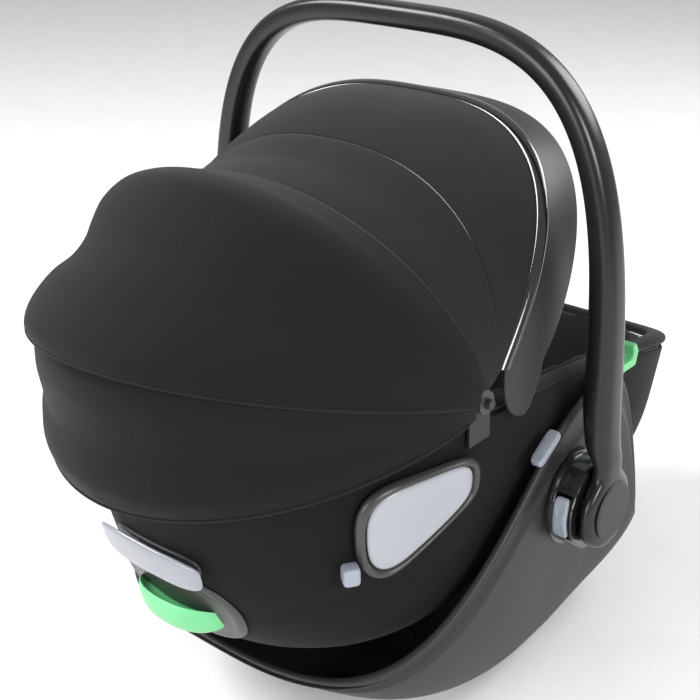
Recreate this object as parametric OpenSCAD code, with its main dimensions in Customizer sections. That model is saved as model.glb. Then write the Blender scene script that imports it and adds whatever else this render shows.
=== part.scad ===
// Infant car seat: a reclining bucket seat in a base with a swinging carry handle, a folding
// sun canopy, side impact pods, a sliding headrest and a five point harness.
// Lengths are millimetres. +X is across the seat, +Y points to the head end, +Z is up.
// Y values inside the modules count from the handle's pivot line.

/* [Handle] */
// Height of the handle pivot above the floor
hub_z = 200; // [185:1:215]
// Half the distance between the middles of the two handle legs
handle_half_w = 204; // [200:1:250]
// Height of the middle of the handle's top bar
handle_top_z = 572; // [555:1:690]
// How square the handle arch is
handle_square = 3.5; // [2.6:0.1:5]
// Thickness of the handle bar at its top
bar_t = 20; // [16:1:26]
// Thickness of the handle leg near its pivot
leg_t = 28; // [22:1:34]
// Radius of the handle's pivot disc
hub_r = 34; // [28:1:38]
// Thickness of the handle's pivot disc
hub_t = 16; // [12:1:24]
// Radius of the pivot pin
pin_r = 6; // [5:0.5:8]
// Radius of the boss that carries the handle
boss_r = 38; // [34:1:42]
// How far a handle button is pressed
handle_button_press = 4; // [3:0.5:5]

/* [Base] */
// Half width of the base at the handle pivots
base_half_w = 182; // [178:1:220]
// Reach of the base towards the head end
base_head = 258; // [240:1:300]
// Reach of the base towards the foot end
base_foot = 244; // [225:1:290]
// Height of the base rim at the sides
base_side_z = 284; // [265:1:295]
// Height of the base rim at the head end
base_tray_z = 114; // [105:1:118]
// Height of the base rim at the foot end
base_foot_z = 88; // [70:1:95]
// Wall of the base
base_wall = 4; // [3:0.5:6]
// Half width of the flat bottom
floor_half_w = 122; // [105:1:150]
// Half length of the flat bottom
floor_half_l = 132; // [120:1:150]
// Height of the rubber feet
foot_h = 3; // [2:0.5:5]
// How far an adaptor release button is pressed
adaptor_press = 3; // [2:0.5:3]

/* [Seat] */
// Half width of the seat shell
seat_half_w = 160; // [130:1:164]
// Reach of the seat towards the head end
seat_head = 326; // [305:1:328]
// Reach of the seat towards the foot end
seat_foot = 310; // [290:1:320]
// Height of the seat rim at the head
rim_head_z = 382; // [370:1:385]
// Height of the seat rim at the sides
rim_side_z = 294; // [285:1:305]
// Height of the seat rim at the foot
rim_foot_z = 206; // [200:1:230]
// Height of the lowest point of the seat shell
seat_low_z = 62; // [55:1:75]
// Wall of the seat shell
seat_wall = 3.5; // [3:0.5:5]
// Thickness of the energy absorbing foam
foam_t = 10; // [6:1:14]
// Thickness of the padded cover
pad_t = 15; // [8:1:18]
// Thickness of the newborn insert
insert_t = 14; // [8:1:18]
// Thickness of the headrest's cushion
head_pad_t = 18; // [10:1:24]

/* [Canopy] */
// Distance of the canopy pivot from the handle pivot
canopy_y = 115; // [110:1:125]
// Height of the canopy pivot
canopy_z = 329; // [325:1:335]
// Half width of the canopy fabric
canopy_half_w = 177; // [176:1:180]
// Width of the visor band
visor_w = 44; // [36:1:50]
// Thickness of the canopy fabric
cloth_t = 2.4; // [2:0.2:3]
// Height of the canopy bows' section
bow_h = 9; // [7:1:10]
// Thickness of the canopy bows' section
bow_t = 2.4; // [2:0.2:3]
// Radius of the canopy pivot pins
canopy_pin_r = 4; // [3:0.5:5]

/* [Fits] */
// Gap between pieces that do not move against each other
rest_gap = 0.3; // [0.2:0.1:0.5]
// Gap between pieces that slide past each other
slide_gap = 0.5; // [0.4:0.1:1]
// Radial clearance of a pin in its bore
pin_gap = 0.06; // [0.04:0.01:0.1]

/* [Hidden] */
$fn = 48;

cover_t = 3;

shell_black = "#1b1b1d";
base_black = "#26272a";
handle_black = "#141416";
blue_grey = "#a9afbb";
mint = "#84d49c";
charcoal = "#242427";
near_black = "#161617";
heather = "#77777c";

function sgn(v) = v < 0 ? -1 : 1;
function sep(c, n) = sgn(c) * pow(abs(c), 2 / n);
function lerp(a, b, t) = a + (b - a) * t;
function clamp01(t) = min(1, max(0, t));
function smooth(t) = let (s = clamp01(t)) s * s * (3 - 2 * s);
function unit(v) = v / norm(v);

module placed(tone) color(tone) translate([0, origin_shift, 0]) children();
// side is 1 on the +X side and -1 on the -X side
module mirrored(side) { if (side > 0) children(); else mirror([1, 0, 0]) children(); }

// Skin between two grids of points, rows by columns. The grids are the outer and the inner
// face; wrap joins the last column to the first.
module skin(outer, inner, wrap) {
  n = len(outer); m = len(outer[0]); o = n * m; w = wrap ? m - 1 : m - 2;
  top = (n - 1) * m;
  pts = concat([for (r = outer, p = r) p], [for (r = inner, p = r) p]);
  faces = concat(
    [for (i = [0:n - 2], j = [0:w]) let (a = i * m + j, b = i * m + (j + 1) % m)
      each [[a, b + m, b], [a, a + m, b + m]]],
    [for (i = [0:n - 2], j = [0:w]) let (a = o + i * m + j, b = o + i * m + (j + 1) % m)
      each [[a, b, b + m], [a, b + m, a + m]]],
    [for (j = [0:w]) let (k = (j + 1) % m)
      each [[top + j, o + top + k, top + k], [top + j, o + top + j, o + top + k]]],
    [for (j = [0:w]) let (k = (j + 1) % m) each [[j, k, o + k], [j, o + k, o + j]]],
    wrap ? [] : [for (i = [0:n - 2]) let (a = i * m, b = a + m)
      each [[a, o + a, o + b], [a, o + b, b]]],
    wrap ? [] : [for (i = [0:n - 2]) let (a = i * m + m - 1, b = a + m)
      each [[a, b, o + b], [a, o + b, o + a]]]);
  polyhedron(pts, faces);
}

// Bar along a path, with a flat section at each end. secs holds one outline per path point.
module bar(path, frames, secs) {
  n = len(path); m = len(secs[0]);
  pts = [for (i = [0:n - 1], p = secs[i]) path[i] + p[0] * frames[i][0] + p[1] * frames[i][1]];
  faces = concat(
    [for (i = [0:n - 2], j = [0:m - 1]) let (a = i * m + j, b = i * m + (j + 1) % m)
      each [[a, b + m, b], [a, a + m, b + m]]],
    [[for (j = [0:m - 1]) j]], [[for (j = [m - 1:-1:0]) (n - 1) * m + j]]);
  polyhedron(pts, faces);
}
function tangents(path) = let (n = len(path))
  [for (i = [0:n - 1]) unit(path[min(n - 1, i + 1)] - path[max(0, i - 1)])];

// ---- base ----
base_square = 3.1;
floor_y = -44;
floor_in_z = foot_h + base_wall;
function base_rim_z(y) = y > 0
  ? lerp(base_side_z, base_tray_z, pow(smooth((y + 20) / (base_head + 2)), 0.8))
  : lerp(base_side_z, base_foot_z, smooth((-y - 70) / 120));
// d is the depth under the outer face, v runs from the floor to the rim
function base_pt(a, v, d) = let (
    c = cos(a), s = sin(a),
    rx = (base_half_w - d) * sep(c, base_square),
    ry = ((s > 0 ? base_head : base_foot) - d) * sep(s, base_square),
    fx = (floor_half_w - d) * sep(c, 2.4), fy = floor_y + (floor_half_l - d) * sep(s, 2.4),
    m = s > 0 ? lerp(1.6, 1.1, s * s) : lerp(1.6, 1.4, s * s),
    u = pow(1 - pow(1 - v, m), 1 / m))
  [lerp(fx, rx, u), lerp(fy, ry, u), lerp(foot_h + d, base_rim_z(ry), v)];
module base_shell() {
  cols = 48;
  levels = [0, 0.05, 0.13, 0.25, 0.4, 0.55, 0.7, 0.85, 1];
  n = len(levels); o = n * cols; top = o - cols;
  pts = concat(
    [for (v = levels, j = [0:cols - 1]) base_pt(j * 360 / cols, v, 0)],
    [for (v = levels, j = [0:cols - 1]) base_pt(j * 360 / cols, v, base_wall)],
    [[0, floor_y, foot_h], [0, floor_y, floor_in_z]]);
  faces = concat(
    [for (i = [0:n - 2], j = [0:cols - 1]) let (a = i * cols + j, b = i * cols + (j + 1) % cols)
      each [[a, b + cols, b], [a, a + cols, b + cols], [o + a, o + b, o + b + cols],
        [o + a, o + b + cols, o + a + cols]]],
    [for (j = [0:cols - 1]) let (k = (j + 1) % cols) each [
      [top + j, o + top + k, top + k], [top + j, o + top + j, o + top + k],
      [2 * o, j, k], [2 * o + 1, o + k, o + j]]]);
  placed(base_black) polyhedron(pts, faces);
}
foot_x = 75;
foot_ys = [-130, 42];
module foot_pads() placed("#111111")
  for (x = [-foot_x, foot_x], y = foot_ys) translate([x, y, 0]) cylinder(r = 13, h = foot_h - 0.2);
module floor_screws() placed("#8a8c90")
  for (x = [-45, 45], y = [-120, -44, 32]) translate([x, y, foot_h - 1.7]) difference() {
    cylinder(r = 4.5, h = 1.5);
    translate([0, 0, -1]) cylinder(r = 2, h = 1.8, $fn = 6);
  }

// The seat leans back on two pairs of arcs about this line.
recline_y = 100;
recline_z = 350;
recline_r = 322;
cradle_x = 62;
cradle_t = 8;
function arc_pts(r, a0, a1, n) = [for (i = [0:n]) let (a = lerp(a0, a1, i / n))
  [recline_y + r * cos(a), recline_z + r * sin(a)]];
module side_plate(x, t, outline)
  translate([x - t / 2, 0, 0]) rotate([90, 0, 90]) linear_extrude(t) polygon(outline);
module cradle(side) placed("#303136") mirrored(side) side_plate(cradle_x, cradle_t, concat(
  arc_pts(recline_r + slide_gap, -121, -99, 12),
  [[recline_y + (recline_r + slide_gap) * cos(-99), floor_in_z + rest_gap],
   [recline_y + (recline_r + slide_gap) * cos(-121), floor_in_z + rest_gap]]));
module cradle_left() cradle(-1);
module cradle_right() cradle(1);
module runner(side) placed("#303136") mirrored(side) side_plate(cradle_x, cradle_t, concat(
  arc_pts(recline_r, -115, -97, 12), arc_pts(recline_r - 9, -97, -115, 12)));
module runner_left() runner(-1);
module runner_right() runner(1);

// ---- handle pivots ----
boss_x0 = base_half_w + rest_gap;
boss_x1 = handle_half_w + 0.5;
hub_x0 = boss_x1 + slide_gap;
hub_x1 = hub_x0 + hub_t;
cap_r = 25.5;
cap_t = 2;
cap_sunk = 0.8;
button_z = 20;
button_x0 = boss_x0 + 5;
button_x1 = boss_x1 - 4;
button_in = 28;
module across(x0, x1, r) translate([x0, 0, hub_z]) rotate([0, 90, 0]) cylinder(r = r, h = x1 - x0);
module boss(side) placed("#0f0f11") mirrored(side) difference() {
  union() {
    across(boss_x0, boss_x1, boss_r);
    across(boss_x0, boss_x0 + 3, boss_r + 3);
  }
  across(boss_x0 - 1, boss_x1 + 1, pin_r + pin_gap);
  across(boss_x0 + 4, boss_x1 + 1, button_in - 2);
  translate([button_x0 - slide_gap, button_in - 3, hub_z - button_z - slide_gap])
    cube([button_x1 - button_x0 + 2 * slide_gap, boss_r, 2 * (button_z + slide_gap)]);
}
module boss_left() boss(-1);
module boss_right() boss(1);
module pivot_pin(side) placed("#9a9ca0") mirrored(side) across(boss_x0 + 0.5, hub_x1 - 3, pin_r);
module pivot_pin_left() pivot_pin(-1);
module pivot_pin_right() pivot_pin(1);
gear_teeth = 12;
gear_root = 14;
tooth_l = 7;
tooth_w = 4.4;
module lock_gear(side) placed("#5a5c60") mirrored(side)
  translate([boss_x0 + 4 + rest_gap, 0, hub_z]) rotate([0, 90, 0]) linear_extrude(8)
  difference() {
    union() {
      circle(r = 17);
      for (i = [0:gear_teeth - 1]) rotate(i * 360 / gear_teeth)
        translate([gear_root, -tooth_w / 2]) square([tooth_l, tooth_w]);
    }
    circle(r = pin_r + pin_gap);
  }
module lock_gear_left() lock_gear(-1);
module lock_gear_right() lock_gear(1);
module handle_button(side) placed(blue_grey) mirrored(side) intersection() {
  across(button_x0, button_x1, boss_r + 2);
  translate([button_x0, button_in + handle_button_press, hub_z - button_z])
    cube([button_x1 - button_x0, boss_r, 2 * button_z]);
}
module handle_button_left() handle_button(-1);
module handle_button_right() handle_button(1);

// ---- handle ----
leg_z = hub_z + boss_r + 5;
arch_z = hub_z + 55;
bar_square = 2.8;
function arch_pt(a) = [handle_half_w * sep(cos(a), handle_square), 0,
  arch_z + (handle_top_z - arch_z) * sep(sin(a), handle_square)];
module handle_arch() {
  ease = [for (i = [0:32]) let (t = i / 32)
    180 * (t < 0.5 ? pow(2 * t, 1.6) / 2 : 1 - pow(2 - 2 * t, 1.6) / 2)];
  path = concat([[-handle_half_w, 0, leg_z]], [for (a = ease) arch_pt(180 - a)],
    [[handle_half_w, 0, leg_z]]);
  frames = [for (t = tangents(path)) [cross([0, 1, 0], t), [0, 1, 0]]];
  secs = [for (p = path) let (f = clamp01((handle_top_z - p[2]) / (handle_top_z - hub_z)))
    [for (j = [0:15]) let (half_t = lerp(bar_t, leg_t, f) / 2)
      [half_t * sep(cos(j * 22.5), bar_square), (half_t + 2) * sep(sin(j * 22.5), bar_square)]]];
  placed(handle_black) bar(path, frames, secs);
}
module handle_hub(side) placed(handle_black) mirrored(side) difference() {
  union() {
    across(hub_x0, hub_x1, hub_r);
    translate([hub_x0, -leg_t / 2, hub_z])
      cube([handle_half_w + leg_t / 2 - hub_x0, leg_t, leg_z - rest_gap - hub_z]);
  }
  across(hub_x0 - 1, hub_x1 - 2.5, pin_r + pin_gap);
  across(hub_x1 - 1, hub_x1 + 1, cap_r + rest_gap);
}
module handle_hub_left() handle_hub(-1);
module handle_hub_right() handle_hub(1);
module hub_cap(side) placed("#2c2d30") mirrored(side)
  across(hub_x1 - cap_sunk, hub_x1 - cap_sunk + cap_t, cap_r);
module hub_cap_left() hub_cap(-1);
module hub_cap_right() hub_cap(1);

// ---- adaptor release buttons and lap belt guides, on the base rim ----
adaptor_y = 40;
adaptor_l = 34;
adaptor_lean = -30;
module adaptor_button(side) placed(blue_grey) mirrored(side)
  translate([base_half_w - 3, adaptor_y, base_rim_z(adaptor_y) + adaptor_press + 10])
  rotate([adaptor_lean, 0, 0]) cube([11, adaptor_l, 9], center = true);
module adaptor_button_left() adaptor_button(-1);
module adaptor_button_right() adaptor_button(1);
guide_y = -60;
module lap_belt_guide(side) placed(mint) mirrored(side)
  side_plate(base_half_w - 4, 13, [for (p = [[30, 6], [30, 1], [-32, 1], [-36, 14], [-31, 22],
    [-26, 20], [-28, 12], [-24, 8], [16, 8], [22, 9]]) [guide_y + p[0], base_side_z + p[1]]]);
module lap_belt_guide_left() lap_belt_guide(-1);
module lap_belt_guide_right() lap_belt_guide(1);

// ---- seat bucket ----
head_mid = 105;
foot_mid = -90;
seat_low_y = -20;
function seat_rim_z(y) = y > 0
  ? lerp(rim_side_z, rim_head_z, pow(y / seat_head, 1.6))
  : lerp(rim_side_z, rim_foot_z, pow(-y / seat_foot, 1.7));
// Share of the way from the middle to the rim that the wall has reached at height share v
function seat_u(s, v) = let (w = max(0, 1 - v),
    c = lerp(0.1, s > 0 ? 0.28 : 0.2, s * s), k = s > 0 ? lerp(6, 13, s) : 5)
  1 - c * (1 - v) - (1 - c) * pow(w, k);
// a is the direction in plan, v the share of the height, d the depth under the shell's face
function seat_pt(a, v, d) = let (
    c = cos(a), s = sin(a), n = s > 0 ? 2.05 : 2.6, mid = s > 0 ? head_mid : foot_mid,
    rx = (seat_half_w - d) * sep(c, n),
    ry = mid + ((s > 0 ? seat_head : seat_foot) - abs(mid) - d) * sep(s, n),
    u = seat_u(s, v))
  [rx * u, lerp(seat_low_y, ry, u), lerp(seat_low_z + d, seat_rim_z(ry), v)];
// directions of the plan's points; each side has one at either end of its straight run
ring = concat([for (j = [0:20]) j * 9], [for (j = [0:20]) 180.001 + j * 8.9999]);
levels = [0.02, 0.07, 0.13, 0.21, 0.31, 0.44, 0.6, 0.8, 1];
rim_roll = 1.035;
module bucket(d0, d1, vs, angles = ring, wrap = true)
  skin([for (v = vs) [for (a = angles) seat_pt(a, v, d0)]],
    [for (v = vs) [for (a = angles) seat_pt(a, v, d1)]], wrap);
module bowl(d0, d1, vs) {
  cols = len(ring); n = len(vs); o = n * cols; top = o - cols;
  pts = concat([for (v = vs, a = ring) seat_pt(a, v, d0)],
    [for (v = vs, a = ring) seat_pt(a, v, d1)],
    [[0, seat_low_y, seat_low_z + d0], [0, seat_low_y, seat_low_z + d1]]);
  faces = concat(
    [for (i = [0:n - 2], j = [0:cols - 1]) let (a = i * cols + j, b = i * cols + (j + 1) % cols)
      each [[a, b + cols, b], [a, a + cols, b + cols], [o + a, o + b, o + b + cols],
        [o + a, o + b + cols, o + a + cols]]],
    [for (j = [0:cols - 1]) let (k = (j + 1) % cols) each [
      [top + j, o + top + k, top + k], [top + j, o + top + j, o + top + k],
      [2 * o, j, k], [2 * o + 1, o + k, o + j]]]);
  polyhedron(pts, faces);
}
function from(vs, i) = [for (j = [i:len(vs) - 1]) vs[j]];
function upto(vs, i) = [for (j = [0:i]) vs[j]];
cover_d = -rest_gap;
foam_d = seat_wall + rest_gap;
pad_d = foam_d + foam_t + rest_gap;
insert_d = pad_d + pad_t + rest_gap;
module seat_shell() placed(shell_black) bowl(0, seat_wall, levels);
module shell_cover() placed(near_black) bucket(cover_d - cover_t, cover_d, from(levels, 3));
module foam_liner() placed("#d8d8d4") bowl(foam_d, foam_d + foam_t, levels);
module seat_pad() placed(near_black) bowl(pad_d, pad_d + pad_t, concat(levels, [rim_roll]));
module rim_trim() placed("#101011") bucket(cover_d - cover_t, pad_d - rest_gap, [1.003, rim_roll]);
// The insert's two wings cradle the hips.
wing_angles = concat([for (j = [0:6]) -62.9993 + j * 8.9999 - 0.001], [-0.002, 0, 9]);
module insert_pad() placed(heather) for (side = [-1, 1]) mirrored(side)
  bucket(insert_d, insert_d + insert_t, from(upto(levels, 7), 2),
    wing_angles, false);

// ---- pieces on the outside of the shell ----
head_angles = [for (j = [0:6]) 63 + j * 9];
bezel_d = cover_d - cover_t - rest_gap;
bezel_t = 2.5;
paddle_press = 3;
paddle_d = bezel_d - bezel_t - slide_gap - paddle_press;
module rear_bezel() placed("#222326")
  bucket(bezel_d - bezel_t, bezel_d, [0.21, 0.31, 0.44, 0.6], head_angles, false);
module recline_paddle() placed(blue_grey)
  bucket(paddle_d - 4, paddle_d, [0.475, 0.515, 0.555], [for (j = [0:8]) 71 + j * 4.75], false);
hook_w = 86;
hook_v = 0.37;
hook_gap = 2.5;
module shoulder_belt_hook() {
  top = seat_pt(90, hook_v, bezel_d - bezel_t);
  placed(mint) translate([-hook_w / 2, top[1] + hook_gap, top[2]])
    rotate([90, 0, 90]) linear_extrude(hook_w)
    polygon([[0, 0], [6, 3], [9, -2], [4, -15], [1, -25], [8, -30], [6, -36], [-5, -36], [-11, -29],
      [-8, -20]]);
}

// ---- side impact pods ----
// A pod narrows towards its hinge, and dips towards the head end.
pod_a0 = 3;
pod_a1 = 33;
pod_d = bezel_d - slide_gap;
pod_frame_t = 6;
pod_panel_t = 3;
function pod_grid(d, inset, rows, cols) = [for (i = [0:rows]) [for (j = [0:cols]) let (
    t = lerp(inset, 1 - inset, j / cols), f = lerp(inset * 1.4, 1 - inset * 1.4, i / rows),
    low = lerp(0.74, 0.54, smooth(t)), high = lerp(0.9, 0.8, t))
  seat_pt(lerp(pod_a0, pod_a1, t), lerp(low, high, f), d)]];
module pod_frame(side) placed("#2b2c30") mirrored(side)
  skin(pod_grid(pod_d - pod_frame_t, 0, 4, 8), pod_grid(pod_d, 0, 4, 8), false);
module pod_frame_left() pod_frame(-1);
module pod_frame_right() pod_frame(1);
module pod_panel(side) placed("#c3c7cd") mirrored(side)
  skin(pod_grid(pod_d - pod_frame_t - rest_gap - pod_panel_t, 0.09, 3, 7),
    pod_grid(pod_d - pod_frame_t - rest_gap, 0.09, 3, 7), false);
module pod_panel_left() pod_panel(-1);
module pod_panel_right() pod_panel(1);
pod_button_a = pod_a1 + 3.4;
pod_button_v = 0.57;
pod_button_out = 8.4;
module pod_button(side) placed(blue_grey) mirrored(side)
  translate(seat_pt(pod_button_a, pod_button_v, pod_d - pod_button_out)) rotate([0, 0, 36])
  cube([11, 12, 13], center = true);
module pod_button_left() pod_button(-1);
module pod_button_right() pod_button(1);

// ---- headrest ----
headrest_d = insert_d + slide_gap;
headrest_t = 3;
headrest_angles = [for (j = [0:14]) 27 + j * 9];
module headrest_shell() placed("#2a2a2d")
  bucket(headrest_d, headrest_d + headrest_t, [0.42, 0.5, 0.6, 0.7, 0.82], headrest_angles, false);
module headrest_pad() placed(charcoal)
  bucket(headrest_d + headrest_t + rest_gap, headrest_d + headrest_t + rest_gap + head_pad_t,
    [0.42, 0.5, 0.6, 0.7, 0.82], headrest_angles, false);

// ---- harness ----
strap_w = 38;
strap_t = 2;
module strap(points, w = strap_w) {
  ts = tangents(points);
  frames = [for (t = ts) let (s = unit(cross([0.0001, 0, 1], t))) [s, cross(t, s)]];
  bar(points, frames, [for (p = points) [[w / 2, strap_t / 2], [-w / 2, strap_t / 2],
    [-w / 2, -strap_t / 2], [w / 2, -strap_t / 2]]]);
}
// the harness was laid out on a pad whose top is this deep in the bucket, and rises with it
laid_pad_top = 29.1;
harness_rise = pad_d + pad_t - laid_pad_top;
shoulder_route = [[42, 205, 238], [43, 196, 205], [42, 172, 168], [38, 130, 140], [33, 80, 129],
  [28, 30, 128], [24, -10, 136], [20, -34, 146]];
module shoulder_strap(side) placed("#1a1a1c") mirrored(side)
  translate([0, 0, harness_rise]) strap(shoulder_route);
module shoulder_strap_left() shoulder_strap(-1);
module shoulder_strap_right() shoulder_strap(1);
hip_route = [[66, 44, 158], [65, 14, 150], [61, -12, 151], [55, -34, 155]];
module hip_strap(side) placed("#1a1a1c") mirrored(side)
  translate([-harness_rise, 0, harness_rise]) strap(hip_route, 30);
module hip_strap_left() hip_strap(-1);
module hip_strap_right() hip_strap(1);
buckle_y = -62;
buckle_z = 122;
buckle_w = 46;
buckle_h = 56;
buckle_t = 18;
module on_buckle() translate([0, buckle_y, buckle_z + harness_rise]) rotate([-25, 0, 0]) children();
module slab(w, h, t, r) rotate([90, 0, 0]) linear_extrude(t, center = true)
  translate([0, h / 2]) union() {
    square([w, h - 2 * r], center = true);
    square([w - 2 * r, h], center = true);
    for (x = [-1, 1], y = [-1, 1]) translate([x * (w / 2 - r), y * (h / 2 - r)]) circle(r = r);
  }
button_w = 24;
button_h = 20;
module buckle_body() placed("#17171a") on_buckle() difference() {
  slab(buckle_w, buckle_h, buckle_t, 8);
  translate([-button_w / 2 - slide_gap, -buckle_t / 2 - 1, 14 - slide_gap])
    cube([button_w + 2 * slide_gap, 8, button_h + 2 * slide_gap]);
}
module buckle_button() placed("#c8232b") on_buckle()
  translate([-button_w / 2, -buckle_t / 2 - 1.5, 14]) cube([button_w, 5, button_h]);
module buckle_tongues() placed("#8f9196") on_buckle() for (s = [-1, 1])
  translate([s * 11, 0, buckle_h + rest_gap]) slab(18, 16, 4, 4);
module crotch_strap() placed("#1a1a1c") translate([0, 0, harness_rise])
  strap([[0, -84, 103], [0, -79, 110], [0, -71, 118]]);
adjuster_y = -150;
module on_front() translate([0, adjuster_y, 116 + harness_rise]) rotate([-14, 0, 0]) children();
module adjuster_housing() placed("#1d1d20") on_front() difference() {
  translate([-26, -20, 0]) cube([52, 40, 8]);
  translate([-12 - slide_gap, -8 - slide_gap, 2.5])
    cube([24 + 2 * slide_gap, 16 + 2 * slide_gap, 8]);
}
module adjuster_button() placed("#6d7078") on_front() translate([-12, -8, 5.5]) cube([24, 16, 4]);

// ---- canopy ----
// each bow is [lean, reach, squareness]; the lean is measured up from the head end
hem_bow = [-11, 222, 2.0];
low_bow = [3, 233, 1.95];
rear_bow_line = [20, 236, 1.95];
waist_bow = [31, 216, 1.95];
crown_bow = [50, 206, 2.0];
middle_bow_line = [69, 158, 2.1];
seam_bow = [102, 163, 2.3];
visor_bow = [129, 228, 2.85];
function bow_pt(b, t, in = 0, w = canopy_half_w) = let (
    r = (b[1] - in) * pow(abs(sin(t)), 2 / b[2]))
  [(w - in) * sep(cos(t), b[2]), canopy_y + r * cos(b[0]), canopy_z + r * sin(b[0])];
// angles along a bow, closer together at its shoulders
function swept(steps, first) = [for (j = [0:steps]) let (t = j / steps)
  first + (180 - 2 * first) * (0.5 - 0.5 * cos(180 * t) * (1 - 0.35 * pow(sin(180 * t), 2)))];
sweep = swept(28, 5);
module panel(bows, tone) placed(tone)
  skin([for (b = bows) [for (t = sweep) bow_pt(b, t)]],
    [for (b = bows) [for (t = sweep) bow_pt(b, t, cloth_t)]], false);
module rear_panel() panel([hem_bow, low_bow, [18.5, 237, 1.95]], near_black);
module third_panel()
  panel([[21.5, 235, 1.95], waist_bow, crown_bow, [66.8, 162, 2.09]], near_black);
module second_panel() panel([[71.5, 154, 2.12], [88, 150, 2.2], seam_bow], charcoal);
module front_panel() panel([[103.5, 164, 2.3], [116, 196, 2.5], [127.5, 226, 2.8]], charcoal);

// The bows' ends turn on the canopy pins, one outside the other.
mount_x0 = seat_half_w + cover_t + 3 * rest_gap;
mount_t = 3;
mount_r = 13;
eye_t = 2.4;
eye_x1 = mount_x0 + mount_t + rest_gap;
eye_x2 = eye_x1 + eye_t + rest_gap;
visor_x = eye_x2 + eye_t + 2 * rest_gap;
visor_t = 3.2;
eye_r = 9;
arm_l = 22;
module at_pivot(x0, x1, r) translate([x0, canopy_y, canopy_z]) rotate([0, 90, 0])
  cylinder(r = r, h = x1 - x0);
module canopy_mount(side) placed("#1f2023") mirrored(side) {
  foot_z = seat_rim_z(canopy_y) - 16;
  at_pivot(mount_x0, mount_x0 + mount_t, mount_r);
  translate([mount_x0, canopy_y - mount_r, foot_z]) cube([mount_t, 2 * mount_r, canopy_z - foot_z]);
  at_pivot(mount_x0, visor_x + visor_t + 1, canopy_pin_r);
}
module canopy_mount_left() canopy_mount(-1);
module canopy_mount_right() canopy_mount(1);
module bow(line, x, in) {
  ts = [for (j = [0:24]) let (t = j / 24) 7 + 166 * (0.5 - 0.5 * cos(180 * t))];
  path = [for (t = ts) bow_pt(line, t, in, x + eye_t / 2 + in)];
  ahead = [0, -sin(line[0]), cos(line[0])];
  frames = [for (t = tangents(path)) [unit(cross(ahead, t)), ahead]];
  difference() {
    union() {
      bar(path, frames, [for (p = path) [[bow_t / 2, bow_h / 2], [-bow_t / 2, bow_h / 2],
        [-bow_t / 2, -bow_h / 2], [bow_t / 2, -bow_h / 2]]]);
      for (s = [-1, 1]) mirrored(s) at_pivot(x, x + eye_t, eye_r);
      for (s = [-1, 1]) mirrored(s) translate([x, canopy_y, canopy_z]) rotate([line[0], 0, 0])
        translate([0, 0, -bow_h / 2]) cube([eye_t, arm_l, bow_h]);
    }
    for (s = [-1, 1]) mirrored(s) at_pivot(x - 1, x + eye_t + 1, canopy_pin_r + pin_gap);
  }
}
module rear_bow() placed("#303134") bow(rear_bow_line, eye_x1, 6);
module middle_bow() placed("#303134") bow(middle_bow_line, eye_x2, 6);
visor_lean = [0, -visor_w, -visor_w / 5];
module visor_band() {
  ts = swept(32, 4);
  w = visor_x + visor_t;
  line = [visor_bow[0], visor_bow[1] + 1, visor_bow[2]];
  function rim(t, in, f) = bow_pt(line, t, in, w) + f * visor_lean;
  // the band's ends reach below the pivots, and furthest at its middle
  function tip(side, in, f) = [side * (w - in), canopy_y + (1 - f) * 10 - f * visor_w,
    canopy_z - f * visor_w / 5 - (f == 0.5 ? 32 : 26)];
  rows = [for (f = [0, 0.5, 1]) [for (in = [0, visor_t])
    concat([tip(1, in, f)], [for (t = ts) rim(t, in, f)], [tip(-1, in, f)])]];
  placed("#2b2c2f") difference() {
    skin([for (r = rows) r[0]], [for (r = rows) r[1]], false);
    for (s = [-1, 1]) mirrored(s) at_pivot(visor_x - 2, w + 2, canopy_pin_r + pin_gap);
  }
}

// The part's origin is on the floor under the middle of its overall length.
foot_end = seat_pt(270, rim_roll, -rest_gap - cover_t)[1];
head_end = canopy_y + max([for (b = [hem_bow, low_bow, rear_bow_line]) b[1] * cos(b[0])]);
origin_shift = -(foot_end + head_end) / 2;

base_shell();
foot_pads();
floor_screws();
cradle_left();
cradle_right();
boss_left();
boss_right();
pivot_pin_left();
pivot_pin_right();
lock_gear_left();
lock_gear_right();
lap_belt_guide_left();
lap_belt_guide_right();
handle_arch();
handle_hub_left();
handle_hub_right();
hub_cap_left();
hub_cap_right();
handle_button_left();
handle_button_right();
adaptor_button_left();
adaptor_button_right();
seat_shell();
shell_cover();
rim_trim();
foam_liner();
seat_pad();
insert_pad();
runner_left();
runner_right();
rear_bezel();
shoulder_belt_hook();
recline_paddle();
canopy_mount_left();
canopy_mount_right();
pod_frame_left();
pod_frame_right();
pod_panel_left();
pod_panel_right();
pod_button_left();
pod_button_right();
headrest_shell();
headrest_pad();
shoulder_strap_left();
shoulder_strap_right();
hip_strap_left();
hip_strap_right();
crotch_strap();
buckle_body();
buckle_tongues();
buckle_button();
adjuster_housing();
adjuster_button();
rear_bow();
middle_bow();
visor_band();
rear_panel();
third_panel();
second_panel();
front_panel();
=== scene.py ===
import math

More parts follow.
